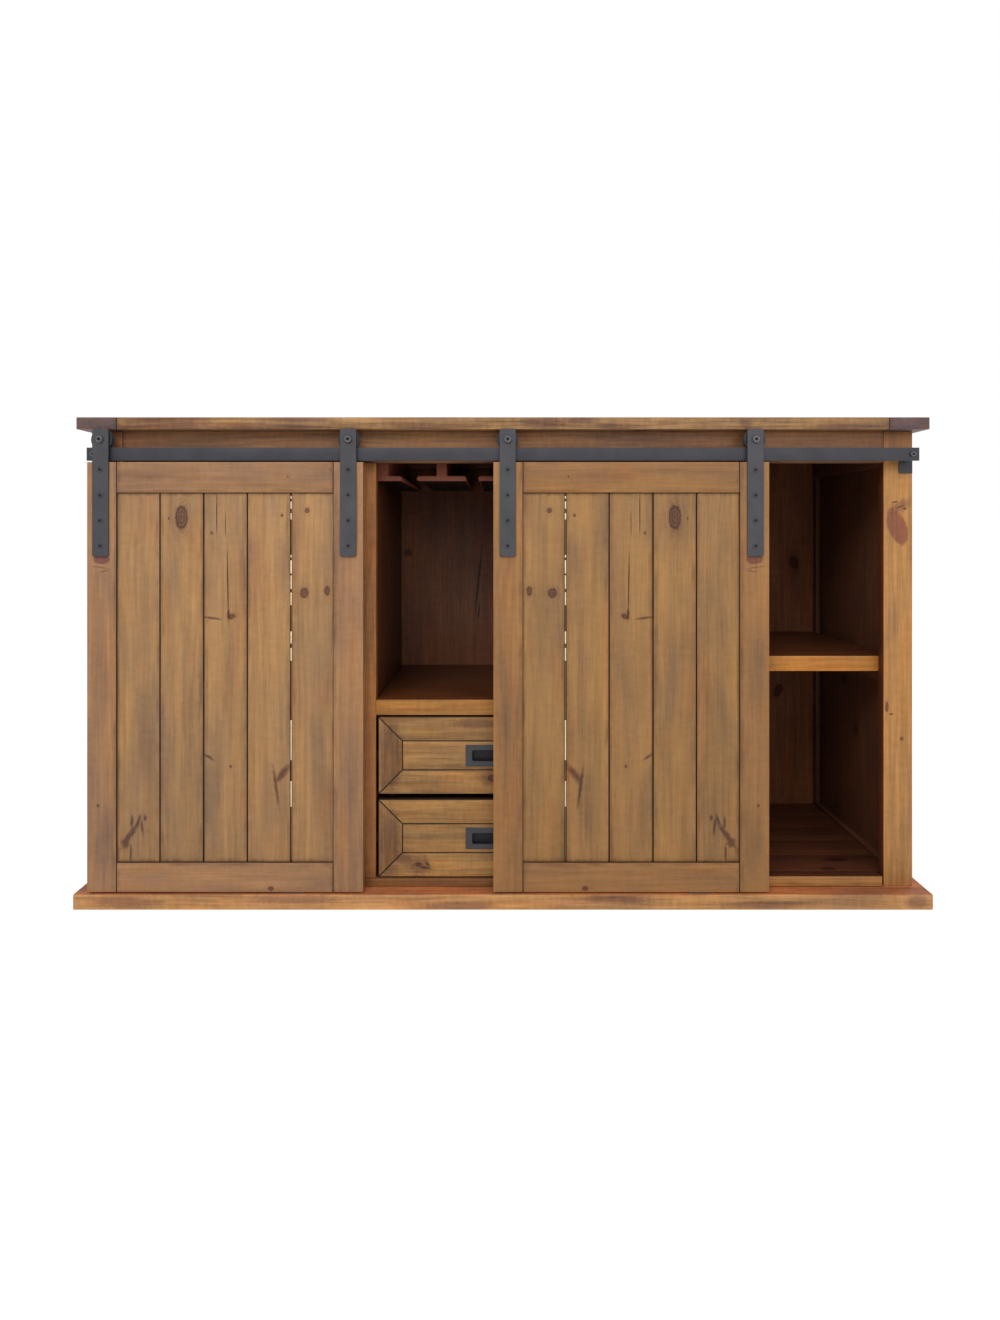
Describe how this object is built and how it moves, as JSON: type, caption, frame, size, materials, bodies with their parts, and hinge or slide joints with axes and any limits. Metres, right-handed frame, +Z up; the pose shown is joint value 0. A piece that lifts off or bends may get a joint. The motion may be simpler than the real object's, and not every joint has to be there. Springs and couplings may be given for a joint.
{
  "type": "wine cabinet",
  "caption": "Rustic pine sideboard with sliding plank doors on a flat steel track, side shelves, a stemware rack and drawers with flush pulls.",
  "frame": {"origin": "middle of the base board's underside, on the floor", "axes": "+X to the right as seen from the front, +Y to the back, +Z up; the doors and drawers face -Y"},
  "size_m": [1.6, 0.463, 0.918],
  "materials": {
    "pine": "satin honey-brown stain, knots and darker arrises",
    "door_pine": "satin honey-brown stain with greyish streaks",
    "plank_pine": "satin honey-brown stain, dark in the V joints",
    "base_pine": "satin reddish-brown stain",
    "inside_pine": "satin brown stain, unlit inside",
    "end_grain": "dark stained board ends with open end grain at the front",
    "rack_wood": "satin reddish-brown stain",
    "dark_steel": "fine-textured charcoal powder coat",
    "bolt_steel": "blackened steel, worn bright on the rims"
  },
  "bodies": {
    "root": {"base_board": "base_pine", "top_panel": "pine", "top_end_left": "end_grain", "top_end_right": "end_grain", "face_stile_left": "pine", "face_stile_right": "pine", "partition_stile_left": "pine", "partition_stile_right": "pine", "frieze_rail": "pine", "side_panel_left": "pine", "side_panel_right": "pine", "partition_left": "inside_pine", "partition_right": "inside_pine", "back_panel": "inside_pine", "floor_panel": "inside_pine", "center_shelf": "pine", "side_shelf_left": "pine", "side_shelf_right": "pine", "rack_wall_rail_left": "rack_wood", "rack_rail_1": "rack_wood", "rack_rail_2": "rack_wood", "rack_rail_3": "rack_wood", "rack_wall_rail_right": "rack_wood", "drawer_runner_upper_left": "inside_pine", "drawer_runner_upper_right": "inside_pine", "drawer_runner_lower_left": "inside_pine", "drawer_runner_lower_right": "inside_pine", "track_bar": "dark_steel", "track_bracket_left": "dark_steel", "track_bracket_right": "dark_steel", "door_guide_left": "dark_steel", "door_guide_right": "dark_steel"},
    "left_door": {"left_door_stile_left": "door_pine", "left_door_stile_right": "door_pine", "left_door_rail_top": "door_pine", "left_door_rail_bottom": "door_pine", "left_door_planks": "plank_pine", "left_door_strap_left": "dark_steel", "left_door_strap_right": "dark_steel", "left_door_axle_left": "bolt_steel", "left_door_axle_right": "bolt_steel"},
    "right_door": {"right_door_stile_left": "door_pine", "right_door_stile_right": "door_pine", "right_door_rail_top": "door_pine", "right_door_rail_bottom": "door_pine", "right_door_planks": "plank_pine", "right_door_strap_left": "dark_steel", "right_door_strap_right": "dark_steel", "right_door_axle_left": "bolt_steel", "right_door_axle_right": "bolt_steel"},
    "left_door_wheel_left": {"left_door_wheel_left": "dark_steel"},
    "left_door_wheel_right": {"left_door_wheel_right": "dark_steel"},
    "right_door_wheel_left": {"right_door_wheel_left": "dark_steel"},
    "right_door_wheel_right": {"right_door_wheel_right": "dark_steel"},
    "upper_drawer": {"upper_drawer_front": "pine", "upper_drawer_box": "inside_pine", "upper_drawer_pull": "dark_steel"},
    "lower_drawer": {"lower_drawer_front": "pine", "lower_drawer_box": "inside_pine", "lower_drawer_pull": "dark_steel"}
  },
  "joints": [
    {"name": "left_door_slide", "type": "slide", "parent": "root", "child": "left_door", "axis": [1, 0, 0], "range_m": [0, 0.24]},
    {"name": "right_door_slide", "type": "slide", "parent": "root", "child": "right_door", "axis": [1, 0, 0], "range_m": [0, 0.279]},
    {"name": "left_door_wheel_left_roll", "type": "hinge", "parent": "left_door", "child": "left_door_wheel_left", "pos_m": [-0.749, -0.2152, 0.875], "axis": [0, 1, 0], "range_deg": [0, 984]},
    {"name": "left_door_wheel_right_roll", "type": "hinge", "parent": "left_door", "child": "left_door_wheel_right", "pos_m": [-0.288, -0.2152, 0.875], "axis": [0, 1, 0], "range_deg": [0, 984]},
    {"name": "right_door_wheel_left_roll", "type": "hinge", "parent": "right_door", "child": "right_door_wheel_left", "pos_m": [0.0087, -0.2152, 0.875], "axis": [0, 1, 0], "range_deg": [0, 1144]},
    {"name": "right_door_wheel_right_roll", "type": "hinge", "parent": "right_door", "child": "right_door_wheel_right", "pos_m": [0.4697, -0.2152, 0.875], "axis": [0, 1, 0], "range_deg": [0, 1144]},
    {"name": "upper_drawer_slide", "type": "slide", "parent": "root", "child": "upper_drawer", "axis": [0, -1, 0], "range_m": [0, 0.01]},
    {"name": "lower_drawer_slide", "type": "slide", "parent": "root", "child": "lower_drawer", "axis": [0, -1, 0], "range_m": [0, 0.01]}
  ],
  "couplings": [
    {"joint": "left_door_wheel_left_roll", "follows": "left_door_slide", "rad_per_m": 71.43},
    {"joint": "left_door_wheel_right_roll", "follows": "left_door_slide", "rad_per_m": 71.43},
    {"joint": "right_door_wheel_left_roll", "follows": "right_door_slide", "rad_per_m": 71.43},
    {"joint": "right_door_wheel_right_roll", "follows": "right_door_slide", "rad_per_m": 71.43}
  ]
}
